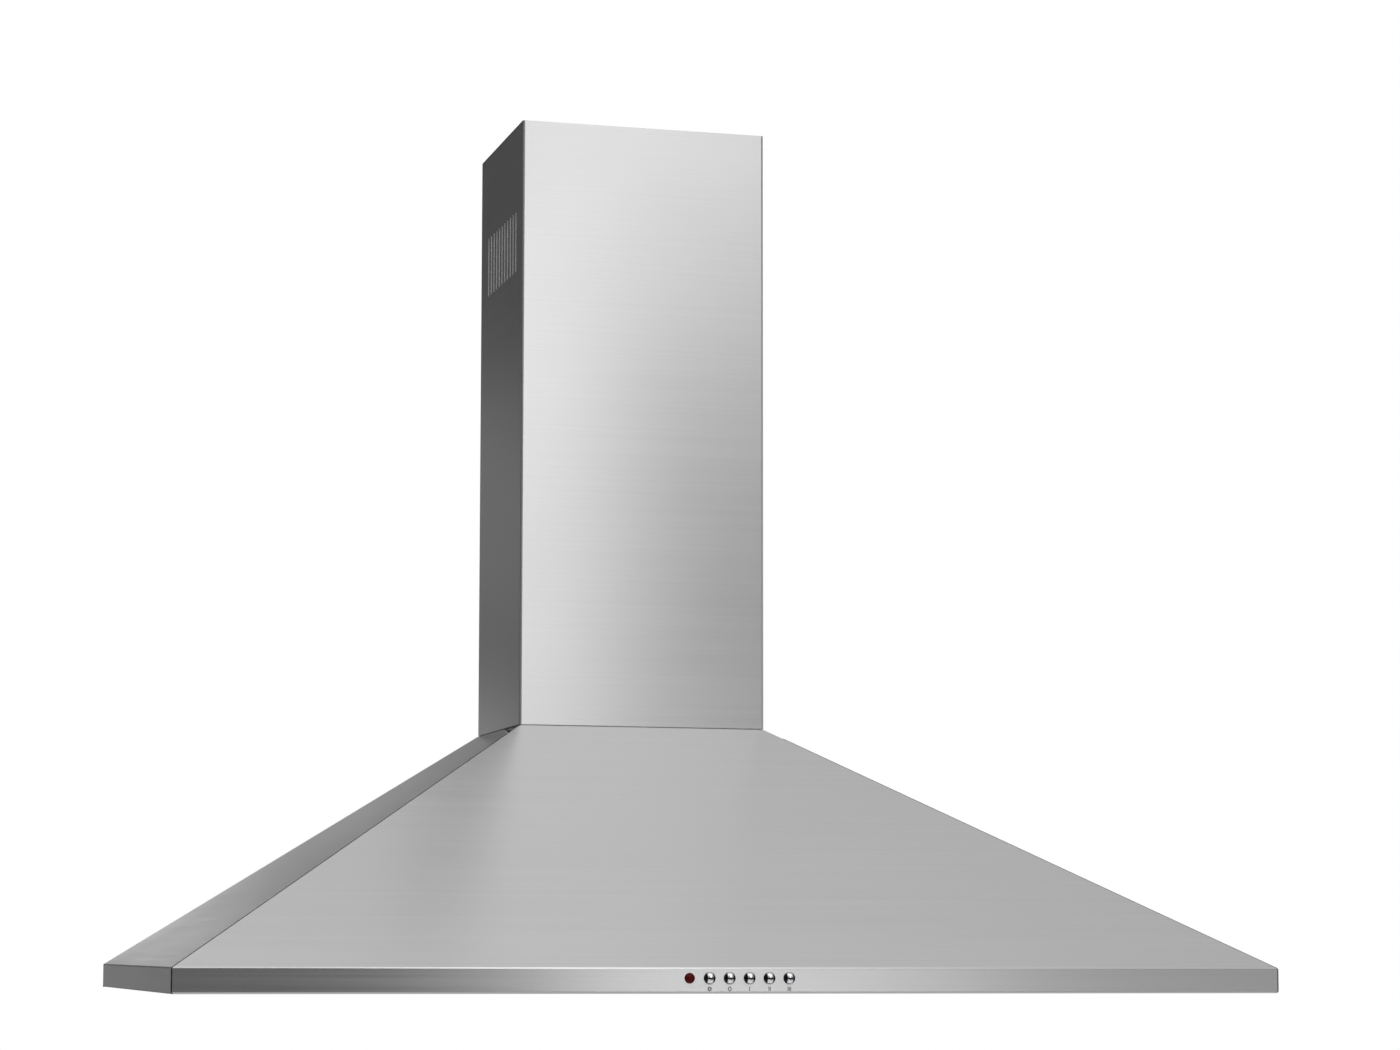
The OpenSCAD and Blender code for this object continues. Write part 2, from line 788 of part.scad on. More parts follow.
module motor_screws()
    color(zinc)
        motor_arm_places()
            translate([outlet_half_w + sheet + 5 + slip / 2, 0, arm_r])
                rotate([0, -90, 0])
                    screw(small_head_r, 1.6, small_screw_r, 8);

// Run capacitor hung under the deck, left of the blower, with its fixing stud
module motor_capacitor()
    color([0.85, 0.86, 0.87]) {
        z = deck_z - capacitor_r - 4;
        rod_y(capacitor_r, chimney_mid - capacitor_l, chimney_mid, capacitor_x, z);
        rod_z(4, z, deck_z - slip, capacitor_x, chimney_mid - capacitor_l / 2);
    }

// ---------- duct spigot and dampers ----------

// Moulded spigot for a round duct, on a square base, with the ledge that the flaps close on
module outlet_collar()
    color(black)
        translate([0, chimney_mid, 0])
            difference() {
                union() {
                    block([-collar_base, -collar_base, spigot_z + slip],
                          [collar_base, collar_base, spigot_z + collar_base_t]);
                    rod_z(spigot_r, spigot_z + slip, spigot_z + spigot_h);
                }
                difference() {
                    rod_z(spigot_r - spigot_wall, spigot_z - over, spigot_z + spigot_h + over);
                    translate([0, 0, ledge_z])
                        difference() {
                            rod_z(spigot_r, -ledge_t, 0);
                            rod_z(spigot_r - spigot_wall - ledge_w, -ledge_t - over, over);
                            block([-knuckle_r - 2, -spigot_r, -2 * ledge_t],
                                  [knuckle_r + 2, spigot_r, over]);
                        }
                }
                rod_y(pin_r, -spigot_r - over, spigot_r + over, 0, damper_z);
                for (x = [-blower_screw_x, blower_screw_x], y = [-blower_screw_y, blower_screw_y])
                    rod_z(screw_r + slip, spigot_z - over, spigot_z + collar_base_t + over, x, y);
            }

module damper_pin()
    color([0.7, 0.7, 0.72])
        rod_y(pin_r - 0.02, chimney_mid - spigot_r, chimney_mid + spigot_r, 0, damper_z);

// One half-round flap with its knuckles on the pin, starting first knuckles from the front
module damper_flap(first)
    color([0.16, 0.16, 0.17])
        translate([0, chimney_mid, damper_z])
            difference() {
                union() {
                    intersection() {
                        rod_z(spigot_r - spigot_wall - flap_gap, -flap_t / 2, flap_t / 2);
                        block([-spigot_r, -spigot_r, -flap_t], [-knuckle_r - flap_slot, spigot_r, flap_t]);
                    }
                    for (y = knuckle_places(first)) {
                        rod_y(knuckle_r, y, y + knuckle_l);
                        block([-knuckle_r - 2 * flap_slot, y, -flap_t / 2], [0, y + knuckle_l, flap_t / 2]);
                    }
                }
                rod_y(pin_r + pin_fit, -spigot_r, spigot_r);
            }

function knuckle_places(first) = [for (k = [0:2]) -66 + (2 * k + first) * (knuckle_l + 4)];

module damper_flap_left()
    damper_flap(0);

module damper_flap_right()
    mirror([1, 0, 0])
        damper_flap(1);

// ---------- chimney ----------

// Outline of a folded channel, with round corners of radius r
module folded_outline(half, front, back, r) {
    translate([-half, front + r])
        square([2 * half, back - front - 2 * r]);
    translate([-half + r, front])
        square([2 * (half - r), back - front]);
    for (x = [-half + r, half - r], y = [front + r, back - r])
        translate([x, y])
            circle(r);
}

// Upright channel, open to the wall, with a flange folded in along each back edge
module channel(half, front, back, flange, z0, z1)
    translate([0, 0, z0])
        linear_extrude(z1 - z0)
            difference() {
                folded_outline(half, front, back, bend_r);
                folded_outline(half - sheet, front + sheet, back - sheet, bend_r - sheet);
                translate([-half + flange, back - 2 * sheet])
                    square([2 * (half - flange), 3 * sheet]);
            }

// The row of vent slots, cut through both sides
module vent_slots()
    for (k = [0:slot_count - 1])
        translate([0, -chimney_d + slot_first + k * slot_pitch, chimney_top - slot_drop])
            block([-chimney_w, -slot_w, -slot_h], [chimney_w, 0, 0]);

module chimney_cover()
    color(steel)
        difference() {
            channel(chimney_w / 2, -chimney_d, 0, cover_flange, chimney_z, chimney_top);
            vent_slots();
        }

// Inner cover that slides up out of the outer one to reach a higher ceiling
module chimney_extension()
    color(steel)
        difference() {
            channel(chimney_w / 2 - sheet - ext_gap, -chimney_d + sheet + ext_gap, -sheet - slip,
                    ext_flange, ext_z, chimney_top - ext_drop);
            vent_slots();
            rod_x(ext_screw_r, -chimney_w, chimney_w, -40, chimney_top - ext_drop - ext_screw_drop);
        }

// Strap on the wall that steadies the extension from inside
module chimney_wall_bracket()
    color(zinc) {
        outer = chimney_w / 2 - 2 * sheet - 2 * ext_gap;
        step = -sheet - slip - sheet - 2;
        difference() {
            block([-bracket_half, -bracket_t, bracket_z], [bracket_half, 0, bracket_z + bracket_h]);
            for (x = [-bracket_hole_x, bracket_hole_x])
                rod_y(bracket_hole_r, -bracket_t - over, over, x, bracket_z + bracket_h / 2);
        }
        for (m = [0, 1])
            mirror([m, 0, 0]) {
                block([bracket_half - bracket_t, step - bracket_t, bracket_z],
                      [bracket_half, 0, bracket_z + bracket_h]);
                block([bracket_half - bracket_t, step - bracket_t, bracket_z],
                      [outer, step, bracket_z + bracket_h]);
                block([outer - bracket_t, -bracket_arm, bracket_z], [outer, step, bracket_z + bracket_h]);
            }
    }

// ---------- electrical ----------

// Open-fronted box on the back panel
module junction_box()
    color(black)
        difference() {
            block([box_x - box_w / 2, box_y - box_d, box_z - box_h / 2],
                  [box_x + box_w / 2, box_y, box_z + box_h / 2]);
            block([box_x - box_w / 2 + box_wall, box_y - box_d - over, box_z - box_h / 2 + box_wall],
                  [box_x + box_w / 2 - box_wall, box_y - box_wall, box_z + box_h / 2 - box_wall]);
            rod_z(gland_r - 2, box_z, box_z + box_h, box_x, box_y - box_d / 2);
            for (z = [entry_high, entry_low])
                rod_x(entry_r, box_x - box_w, box_x, entry_y, z);
            for (z = [entry_mid, entry_low])
                rod_x(entry_r, box_x, box_x + box_w, entry_y, z);
        }

module junction_box_cover()
    color(black)
        difference() {
            block([box_x - box_w / 2, box_y - box_d - slip - 2, box_z - box_h / 2],
                  [box_x + box_w / 2, box_y - box_d - slip, box_z + box_h / 2]);
            for (x = box_screw_x)
                rod_y(small_screw_r + slip, box_y - box_d - 4, box_y - box_d, x, box_z);
        }

module junction_box_screws()
    color(zinc)
        for (x = box_screw_x)
            translate([x, box_y - box_d - slip - 2 - slip / 2, box_z])
                rotate([-90, 0, 0])
                    screw(small_head_r, 1.6, small_screw_r, 8);

// Three-pole terminal block inside the box
module terminal_block()
    color([0.93, 0.93, 0.90])
        for (k = [-1, 0, 1])
            difference() {
                block([box_x + 10 * k - 4.8, box_y - 24, box_z - 14],
                      [box_x + 10 * k + 4.8, box_y - box_wall - slip, box_z + 4]);
                rod_z(2, box_z - 14 - over, box_z + 4 + over, box_x + 10 * k, box_y - 14);
                rod_y(1.8, box_y - 24 - over, box_y - 14, box_x + 10 * k, box_z - 5);
            }

// Gland for the mains cable: threaded body through the box's top, nut and seal
module cable_gland()
    color([0.2, 0.2, 0.21])
        translate([box_x, box_y - box_d / 2, box_z + box_h / 2])
            difference() {
                union() {
                    rod_z(gland_r - 2 - slip, -8, gland_l - 8);
                    cylinder(r = gland_r, h = 5, $fn = 6);
                    rod_z(gland_r - 1, 5, gland_l - 8);
                }
                rod_z(gland_bore, -8 - over, gland_l);
            }

module lead_of(route)
    color([0.16, 0.16, 0.17])
        lead(route);

// ---------- nodes ----------

canopy_front_panel();
canopy_left_panel();
canopy_right_panel();
canopy_back_panel();
top_collar();
underside_panel();
filter_frame(filter_x[0]);  // filter_frame_left
filter_frame(filter_x[1]);  // filter_frame_centre
filter_frame(filter_x[2]);  // filter_frame_right
filter_mesh(filter_x[0]);  // filter_mesh_left
filter_mesh(filter_x[1]);  // filter_mesh_centre
filter_mesh(filter_x[2]);  // filter_mesh_right
filter_latch(filter_x[0]);  // filter_latch_left
filter_latch(filter_x[1]);  // filter_latch_centre
filter_latch(filter_x[2]);  // filter_latch_right
lamp_housing(-1);  // lamp_housing_left
lamp_housing(1);  // lamp_housing_right
lamp_bulb(-1);  // lamp_bulb_left
lamp_bulb(1);  // lamp_bulb_right
lamp_glass(-1);  // lamp_glass_left
lamp_glass(1);  // lamp_glass_right
lamp_bezel(-1);  // lamp_bezel_left
lamp_bezel(1);  // lamp_bezel_right
switch_housing();
switch_board();
switch_screws();
indicator_lens();
push_button(0);  // button_light
push_button(1);  // button_off
push_button(2);  // button_speed_1
push_button(3);  // button_speed_2
push_button(4);  // button_speed_3
blower_scroll();
blower_side_left();
blower_side_right();
blower_screws();
fan_wheel();
motor_shaft();
fan_motor();
motor_bracket();
motor_screws();
motor_capacitor();
outlet_collar();
damper_pin();
damper_flap_left();
damper_flap_right();
chimney_cover();
chimney_extension();
chimney_wall_bracket();
junction_box();
junction_box_cover();
junction_box_screws();
terminal_block();
cable_gland();
lead_of(motor_route);  // motor_lead
lead_of(switch_route);  // switch_lead
lead_of(left_route);  // lamp_lead_left
lead_of(right_route);  // lamp_lead_right
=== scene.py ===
import math

import bpy
from mathutils import Matrix, Vector


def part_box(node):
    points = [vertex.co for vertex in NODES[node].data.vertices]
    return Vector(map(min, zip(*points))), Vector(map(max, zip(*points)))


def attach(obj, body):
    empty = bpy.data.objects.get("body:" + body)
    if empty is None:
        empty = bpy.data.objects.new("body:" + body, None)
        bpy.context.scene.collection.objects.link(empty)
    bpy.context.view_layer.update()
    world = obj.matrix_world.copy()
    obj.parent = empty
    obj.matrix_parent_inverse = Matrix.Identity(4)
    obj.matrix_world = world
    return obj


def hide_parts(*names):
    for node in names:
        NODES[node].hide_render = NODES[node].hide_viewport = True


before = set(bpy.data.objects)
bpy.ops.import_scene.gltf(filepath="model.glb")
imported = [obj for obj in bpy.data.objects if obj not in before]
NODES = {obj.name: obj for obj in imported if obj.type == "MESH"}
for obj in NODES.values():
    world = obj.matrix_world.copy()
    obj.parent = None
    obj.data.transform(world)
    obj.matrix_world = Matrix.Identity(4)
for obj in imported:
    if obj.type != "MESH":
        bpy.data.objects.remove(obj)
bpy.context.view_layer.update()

# A wall-mounted range hood. The row frame is in metres: +X right, +Y into the wall, +Z up,
# with the origin on the wall under the middle of the canopy.

MM = 0.001
scene = bpy.context.scene

FRONT_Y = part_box("canopy_front_panel")[0].y
FLOOR_Z = -1.6              # the hood hangs at a usual height over a kitchen floor
SIDES = ("left", "centre", "right")


# ---------- camera ----------

def add_camera():
    """A long lens near the rim's height, left of the hood and looking slightly up."""
    place = Vector((-752.2, FRONT_Y / MM - 2519.5, 33.6)) * MM
    yaw, pitch, roll = math.radians(14.838), math.radians(5.579), math.radians(0.140)
    ahead = Vector((math.sin(yaw) * math.cos(pitch), math.cos(yaw) * math.cos(pitch), math.sin(pitch)))
    turn = ahead.to_track_quat("-Z", "Y").to_matrix().to_4x4() @ Matrix.Rotation(roll, 4, "Z")
    data = bpy.data.cameras.new("camera")
    data.sensor_width = 36
    data.lens = 86.127
    data.shift_x, data.shift_y = 0.0394, 0.0700
    data.clip_start = 0.05
    cam = bpy.data.objects.new("camera", data)
    cam.location = place
    cam.rotation_euler = turn.to_euler()
    scene.collection.objects.link(cam)
    scene.camera = cam


# ---------- node helpers ----------

class Graph:
    """A few short ways to make and link shader nodes."""

    def __init__(self, tree):
        self.tree = tree
        tree.nodes.clear()

    def node(self, kind, **settings):
        n = self.tree.nodes.new(kind)
        for key, value in settings.items():
            setattr(n, key, value)
        return n

    def link(self, a, b):
        self.tree.links.new(a, b)

    def math(self, operation, *values):
        """A math node. Each value is a socket to link, or a plain number."""
        n = self.node("ShaderNodeMath", operation=operation)
        for socket, value in zip(n.inputs, values):
            if isinstance(value, bpy.types.NodeSocket):
                self.link(value, socket)
            else:
                socket.default_value = value
        return n.outputs[0]

    def remap(self, value, start, end, low=0.0, high=1.0):
        """Maps start to end onto low to high, and holds those beyond."""
        m = self.node("ShaderNodeMapRange")
        for name, number in (("From Min", start), ("From Max", end), ("To Min", low), ("To Max", high)):
            m.inputs[name].default_value = number
        self.link(value, m.inputs["Value"])
        return m.outputs["Result"]

    def spread(self, value, low, high):
        """Maps the middle of a noise onto low to high."""
        return self.remap(value, 0.3, 0.7, low, high)

    def axes(self, vector):
        """The X, Y and Z of a vector."""
        split = self.node("ShaderNodeSeparateXYZ")
        self.link(vector, split.inputs[0])
        return split.outputs

    def coordinates(self, scale):
        """Object coordinates, scaled along X, Y and Z."""
        mapping = self.node("ShaderNodeMapping")
        mapping.inputs["Scale"].default_value = scale
        self.link(self.node("ShaderNodeTexCoord").outputs["Object"], mapping.inputs["Vector"])
        return mapping.outputs["Vector"]

    def noise(self, scale, detail=2.0, rough=0.5):
        n = self.node("ShaderNodeTexNoise")
        n.inputs["Scale"].default_value = 1.0
        n.inputs["Detail"].default_value = detail
        n.inputs["Roughness"].default_value = rough
        self.link(self.coordinates(scale), n.inputs["Vector"])
        return n.outputs["Fac"]

    def tint(self, value, dark, light):
        mix = self.node("ShaderNodeMix", data_type="RGBA")
        mix.inputs["A"].default_value = (*dark, 1)
        mix.inputs["B"].default_value = (*light, 1)
        self.link(value, mix.inputs["Factor"])
        return mix.outputs["Result"]

    def bump(self, value, strength, distance):
        b = self.node("ShaderNodeBump")
        b.inputs["Strength"].default_value = strength
        b.inputs["Distance"].default_value = distance
        self.link(value, b.inputs["Height"])
        return b.outputs["Normal"]


def shader(name):
    """A new material, its graph and its Principled shader."""
    mat = bpy.data.materials.new(name)
    mat.use_nodes = True
    g = Graph(mat.node_tree)
    out = g.node("ShaderNodeOutputMaterial")
    bsdf = g.node("ShaderNodeBsdfPrincipled")
    g.link(bsdf.outputs["BSDF"], out.inputs["Surface"])
    return mat, g, bsdf


def shade(grey, spread=0.04):
    """A darker and a lighter version of one colour."""
    return tuple(c * (1 - spread) for c in grey), tuple(min(1, c * (1 + spread)) for c in grey)


# ---------- materials ----------

def cut_edges(g, bsdf):
    """Makes the punched edges of the chimney's vent slots half matt: faces across Y, inside its walls."""
    low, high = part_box("chimney_cover")
    wall = 10 * MM
    normal = g.axes(g.node("ShaderNodeNewGeometry").outputs["True Normal"])
    place = g.axes(g.node("ShaderNodeTexCoord").outputs["Object"])
    facing = g.math("GREATER_THAN", g.math("ABSOLUTE", normal["Y"]), 0.95)
    inside = g.math("COMPARE", place["Y"], (low.y + high.y) / 2, (high.y - low.y) / 2 - wall)
    both = g.math("MULTIPLY", facing, inside)
    g.link(g.remap(both, 0, 1, 1.0, 0.55), bsdf.inputs["Metallic"])


def level_grain(g):
    """The direction that lies in each face and rises most steeply."""
    normal = g.node("ShaderNodeNewGeometry").outputs["Normal"]
    across = g.node("ShaderNodeVectorMath", operation="CROSS_PRODUCT")
    g.link(normal, across.inputs[0])
    across.inputs[1].default_value = (0, 0, 1)
    up = g.node("ShaderNodeVectorMath", operation="CROSS_PRODUCT")
    g.link(across.outputs[0], up.inputs[0])
    g.link(normal, up.inputs[1])
    return up.outputs[0]


def brushed(name, colour, rough, grain_scale, anisotropy=0.6, level=True, cut=False):
    """Brushed metal. Its streaks run the way grain_scale is small; level grain follows the face."""
    mat, g, bsdf = shader(name)
    streaks = g.noise(grain_scale, 3.0, 0.65)
    cloud = g.noise((5, 5, 5), 2.0)
    bsdf.inputs["Metallic"].default_value = 1.0
    bsdf.inputs["Anisotropic"].default_value = anisotropy
    g.link(g.tint(streaks, *shade(colour, 0.07)), bsdf.inputs["Base Color"])
    uneven = g.math("MULTIPLY_ADD", streaks, 0.6, g.math("MULTIPLY", cloud, 0.4))
    g.link(g.spread(uneven, rough - 0.04, rough + 0.04), bsdf.inputs["Roughness"])
    g.link(g.bump(streaks, 0.12, 0.04 * MM), bsdf.inputs["Normal"])
    if level:
        g.link(level_grain(g), bsdf.inputs["Tangent"])
    if cut:
        cut_edges(g, bsdf)
    return mat


def plain_metal(name, colour, rough, scale=60):
    """Sheet, ground or cast metal with no grain direction."""
    mat, g, bsdf = shader(name)
    spots = g.noise((scale,) * 3, 4.0, 0.6)
    bsdf.inputs["Metallic"].default_value = 1.0
    g.link(g.tint(spots, *shade(colour, 0.08)), bsdf.inputs["Base Color"])
    g.link(g.spread(spots, rough - 0.05, rough + 0.05), bsdf.inputs["Roughness"])
    return mat


def spangled(name, colour):
    """Galvanised sheet, with the patchwork of its zinc crystals."""
    mat, g, bsdf = shader(name)
    cells = g.node("ShaderNodeTexVoronoi")
    cells.inputs["Scale"].default_value = 1.0
    g.link(g.coordinates((110, 110, 110)), cells.inputs["Vector"])
    flake = g.node("ShaderNodeSeparateColor")
    g.link(cells.outputs["Color"], flake.inputs["Color"])
    bsdf.inputs["Metallic"].default_value = 1.0
    g.link(g.tint(flake.outputs[0], *shade(colour, 0.12)), bsdf.inputs["Base Color"])
    g.link(g.spread(flake.outputs[1], 0.36, 0.5), bsdf.inputs["Roughness"])
    return mat


def chrome(name):
    """Polished plating over a dome, with a painted reflection: its sides and a band across its middle are
    painted near black by the normal's direction.
    """
    mat, g, bsdf = shader(name)
    waves = g.noise((300, 300, 300), 2.0)
    normal = g.axes(g.node("ShaderNodeNewGeometry").outputs["Normal"])
    # painted reflection: the dome's left and right sides and a band across its middle, picked by the
    # normal, are painted dark
    left = g.remap(normal["X"], -0.5, -0.62)
    right = g.remap(normal["X"], 0.33, 0.45)
    painted_dark_band = g.math("COMPARE", normal["Z"], -0.06, 0.11)
    dark = g.math("MAXIMUM", g.math("MAXIMUM", left, right), painted_dark_band)
    # mixes the plating's colour with the near-black painted reflection
    plate_and_painted_reflection = g.node("ShaderNodeMix", data_type="RGBA")
    g.link(dark, plate_and_painted_reflection.inputs["Factor"])
    g.link(g.tint(waves, *shade((0.86, 0.87, 0.88), 0.02)), plate_and_painted_reflection.inputs["A"])
    plate_and_painted_reflection.inputs["B"].default_value = (0.03, 0.03, 0.033, 1)
    bsdf.inputs["Metallic"].default_value = 1.0
    g.link(plate_and_painted_reflection.outputs["Result"], bsdf.inputs["Base Color"])
    g.link(g.spread(waves, 0.02, 0.05), bsdf.inputs["Roughness"])
    return mat


def moulded(name, colour, rough, grain=900, strength=0.15):
    """Moulded plastic, painted metal or rubber with a fine grained skin."""
    mat, g, bsdf = shader(name)
    skin = g.noise((grain,) * 3, 3.0)
    g.link(g.tint(skin, *shade(colour, 0.10)), bsdf.inputs["Base Color"])
    g.link(g.spread(skin, rough - 0.05, rough + 0.05), bsdf.inputs["Roughness"])
    g.link(g.bump(skin, strength, 0.05 * MM), bsdf.inputs["Normal"])
    return mat


def clear(name, colour, rough, transmission, specular=0.5):
    """Glass or a glossy plastic lens."""
    mat, g, bsdf = shader(name)
    frost = g.noise((500, 500, 500), 3.0)
    bsdf.inputs["Transmission Weight"].default_value = transmission
    bsdf.inputs["IOR"].default_value = 1.5
    bsdf.inputs["Specular IOR Level"].default_value = specular
    g.link(g.tint(frost, *shade(colour, 0.03)), bsdf.inputs["Base Color"])
    g.link(g.spread(frost, max(0.01, rough - 0.04), rough + 0.04), bsdf.inputs["Roughness"])
    return mat


def make_materials():
    steel = (0.62, 0.62, 0.625)
    return {
        "steel": brushed("brushed_steel", steel, 0.33, (3, 3, 900)),
        "slotted": brushed("slotted_steel", steel, 0.33, (3, 3, 900), cut=True),
        "underside": brushed("brushed_underside", steel, 0.33, (3, 900, 900), level=False),
        "zinc": spangled("galvanised_sheet", (0.58, 0.59, 0.60)),
        "bright": plain_metal("bright_steel", (0.62, 0.62, 0.63), 0.2),
        "aluminium": brushed("filter_aluminium", (0.76, 0.77, 0.78), 0.3, (4, 500, 500), 0.3, False),
        "mesh": plain_metal("mesh_aluminium", (0.66, 0.67, 0.68), 0.34, 200),
        "chrome": chrome("chrome"),
        "black": moulded("black_plastic", (0.020, 0.020, 0.022), 0.42),
        "board": moulded("circuit_board", (0.02, 0.11, 0.05), 0.38, 500),
        "motor": moulded("motor_paint", (0.055, 0.058, 0.062), 0.4, 700, 0.25),
        "white": moulded("white_plastic", (0.80, 0.80, 0.77), 0.45),
        "rubber": moulded("lead_sheath", (0.018, 0.018, 0.020), 0.55),
        "ink": moulded("printed_ink", (0.03, 0.03, 0.035), 0.6),
        "glass": clear("frosted_glass", (0.93, 0.96, 0.96), 0.35, 0.75),
        "bulb": clear("bulb_glass", (0.97, 0.97, 0.95), 0.04, 0.95),
        "red": clear("red_lens", (0.045, 0.001, 0.0008), 0.06, 0.0, specular=0.12),
    }


LOOK = {
    "steel": ("canopy_front_panel", "canopy_left_panel", "canopy_right_panel"),
    "slotted": ("chimney_cover", "chimney_extension"),
    "underside": ("underside_panel", "lamp_bezel_left", "lamp_bezel_right"),
    "zinc": ("canopy_back_panel", "top_collar", "lamp_housing_left", "lamp_housing_right", "blower_scroll",
             "blower_side_left", "blower_side_right", "fan_wheel", "motor_bracket", "chimney_wall_bracket"),
    "bright": ("switch_screws", "blower_screws", "motor_screws", "junction_box_screws", "motor_shaft",
               "damper_pin"),
    "aluminium": ("filter_frame_left", "filter_frame_centre", "filter_frame_right", "motor_capacitor"),
    "mesh": ("filter_mesh_left", "filter_mesh_centre", "filter_mesh_right"),
    "chrome": ("button_light", "button_off", "button_speed_1", "button_speed_2", "button_speed_3"),
    "black": ("filter_latch_left", "filter_latch_centre", "filter_latch_right", "switch_housing",
              "damper_flap_left", "damper_flap_right", "outlet_collar", "junction_box",
              "junction_box_cover", "cable_gland"),
    "board": ("switch_board",),
    "motor": ("fan_motor",),
    "white": ("terminal_block",),
    "rubber": ("motor_lead", "switch_lead", "lamp_lead_left", "lamp_lead_right"),
    "glass": ("lamp_glass_left", "lamp_glass_right"),
    "bulb": ("lamp_bulb_left", "lamp_bulb_right"),
    "red": ("indicator_lens",),
}

BEVELLED = {                # edge width in mm
    "canopy_front_panel": 0.25, "canopy_left_panel": 0.25, "canopy_right_panel": 0.25,
    "filter_latch_left": 0.3, "filter_latch_centre": 0.3, "filter_latch_right": 0.3,
    "junction_box": 0.6, "junction_box_cover": 0.4, "switch_housing": 0.3,
}


def dress_cad_nodes(mats):
    """Gives every CAD node its material, and eases the edges of those seen close."""
    for key, names in LOOK.items():
        for name in names:
            data = NODES[name].data
            data.materials.clear()
            data.materials.append(mats[key])
    for name, width in BEVELLED.items():
        obj = NODES[name]
        weld = obj.modifiers.new("weld", "WELD")
        weld.merge_threshold = 0.01 * MM
        bevel = obj.modifiers.new("bevel", "BEVEL")
        bevel.width = width * MM
        bevel.segments = 2
        bevel.limit_method = "ANGLE"
        bevel.angle_limit = math.radians(40)
        bevel.harden_normals = True
        flatten = obj.modifiers.new("flatten", "WEIGHTED_NORMAL")
        flatten.keep_sharp = True


# ---------- pieces ----------

def add_piece(name, verts, faces, mat, body):
    mesh = bpy.data.meshes.new(name)
    mesh.from_pydata([tuple(v) for v in verts], [], faces)
    mesh.materials.append(mat)
    mesh.update()
    obj = bpy.data.objects.new(name, mesh)
    scene.collection.objects.link(obj)
    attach(obj, body)
    return obj


def ribbon(points, wide, thick, verts, faces):
    """Adds a flat strip along points in one level plane."""
    start = len(verts)
    for k, p in enumerate(points):
        before = points[max(0, k - 1)]
        after = points[min(len(points) - 1, k + 1)]
        side = Vector((-(after.y - before.y), after.x - before.x, 0)).normalized() * wide / 2
        lift = Vector((0, 0, thick / 2))
        verts += [p - side - lift, p + side - lift, p + side + lift, p - side + lift]
    for k in range(len(points) - 1):
        a = start + 4 * k
        for j in range(4):
            m = (j + 1) % 4
            faces.append((a + j, a + m, a + 4 + m, a + 4 + j))
    last = start + 4 * (len(points) - 1)
    faces.append((start + 3, start + 2, start + 1, start))
    faces.append((last, last + 1, last + 2, last + 3))


def expanded_metal(side, mat):
    """Two layers of diamond mesh inside one filter's frame, with a gap for the latch's case."""
    node = f"filter_mesh_{side}"
    low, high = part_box(node)
    latch_low, latch_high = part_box(f"filter_latch_{side}")
    case_wall, case_reach = 3.4 * MM, 31 * MM
    gap_x0, gap_x1 = latch_low.x - case_wall, latch_high.x + case_wall
    gap_y = low.y + case_reach
    long_way, short_way = 9 * MM, 4.6 * MM
    strand, thick = 0.9 * MM, 0.7 * MM
    swing = short_way - strand * 0.4
    rows = int((high.y - low.y - 2 * strand) / short_way)
    steps = int((high.x - low.x - 2 * strand) / (long_way / 2))
    x0 = (low.x + high.x - steps * long_way / 2) / 2
    y0 = (low.y + high.y - rows * short_way) / 2
    verts, faces = [], []
    for layer, z in enumerate((low.z + thick / 2, high.z - thick / 2)):
        for r in range(rows):
            middle = y0 + (r + 0.5) * short_way
            runs = [[]]
            for s in range(steps + 1):
                up = (s + r + layer) % 2
                p = Vector((x0 + s * long_way / 2, middle + (up - 0.5) * swing, z))
                if middle < gap_y and gap_x0 < p.x < gap_x1:
                    runs.append([])
                else:
                    runs[-1].append(p)
            for run in runs:
                if len(run) > 1:
                    ribbon(run, strand, thick, verts, faces)
    obj = add_piece(f"expanded_metal_{side}", verts, faces, mat, f"filter_{side}")
    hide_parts(node)


def stroke(points, wide, verts, faces, proud):
    """Adds a thin printed line on the rim's front, through points given as X and Z."""
    for (xa, za), (xb, zb) in zip(points, points[1:]):
        run = Vector((xb - xa, 0, zb - za))
        side = Vector((-run.z, 0, run.x)).normalized() * wide / 2
        ahead = run.normalized() * wide / 4
        base = len(verts)
        for y in (FRONT_Y, FRONT_Y - proud):
            for p in (Vector((xa, y, za)) - ahead, Vector((xb, y, zb)) + ahead):
                verts += [p - side, p + side]
        faces += [(base, base + 1, base + 3, base + 2), (base + 4, base + 6, base + 7, base + 5),
                  (base, base + 4, base + 5, base + 1), (base + 1, base + 5, base + 7, base + 3),
                  (base + 3, base + 7, base + 6, base + 2), (base + 2, base + 6, base + 4, base)]


def printed_symbols(mat):
    """A lamp, 0, I, II and III under the five buttons."""
    tall, wide, proud = 3.0 * MM, 0.55 * MM, 0.03 * MM
    z = 3.7 * MM
    bar_step = 1.1 * MM
    bulb_r, ray_from, ray_to = 0.95 * MM, 1.35 * MM, 1.8 * MM
    zero_r = 1.15 * MM
    rays = 8

    def bars(x, count):
        places = [x + (k - (count - 1) / 2) * bar_step for k in range(count)]
        return [[(p, z - tall / 2), (p, z + tall / 2)] for p in places]

    def oval(x, rx, rz, corners=24):
        turns = [k * 2 * math.pi / corners for k in range(corners + 1)]
        return [(x + rx * math.cos(a), z + rz * math.sin(a)) for a in turns]

    def lamp(x):
        turns = [k * 2 * math.pi / rays for k in range(rays)]
        return [oval(x, bulb_r, bulb_r)] + [[(x + r * math.cos(a), z + r * math.sin(a))
                                             for r in (ray_from, ray_to)] for a in turns]

    marks = {"light": lamp, "off": lambda x: [oval(x, zero_r, tall / 2)],
             "speed_1": lambda x: bars(x, 1), "speed_2": lambda x: bars(x, 2),
             "speed_3": lambda x: bars(x, 3)}
    for key, make in marks.items():
        low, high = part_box(f"button_{key}")
        verts, faces = [], []
        for line in make((low.x + high.x) / 2):
            stroke(line, wide, verts, faces, proud)
        add_piece(f"symbol_{key}", verts, faces, mat, "hood")


# ---------- stage ----------

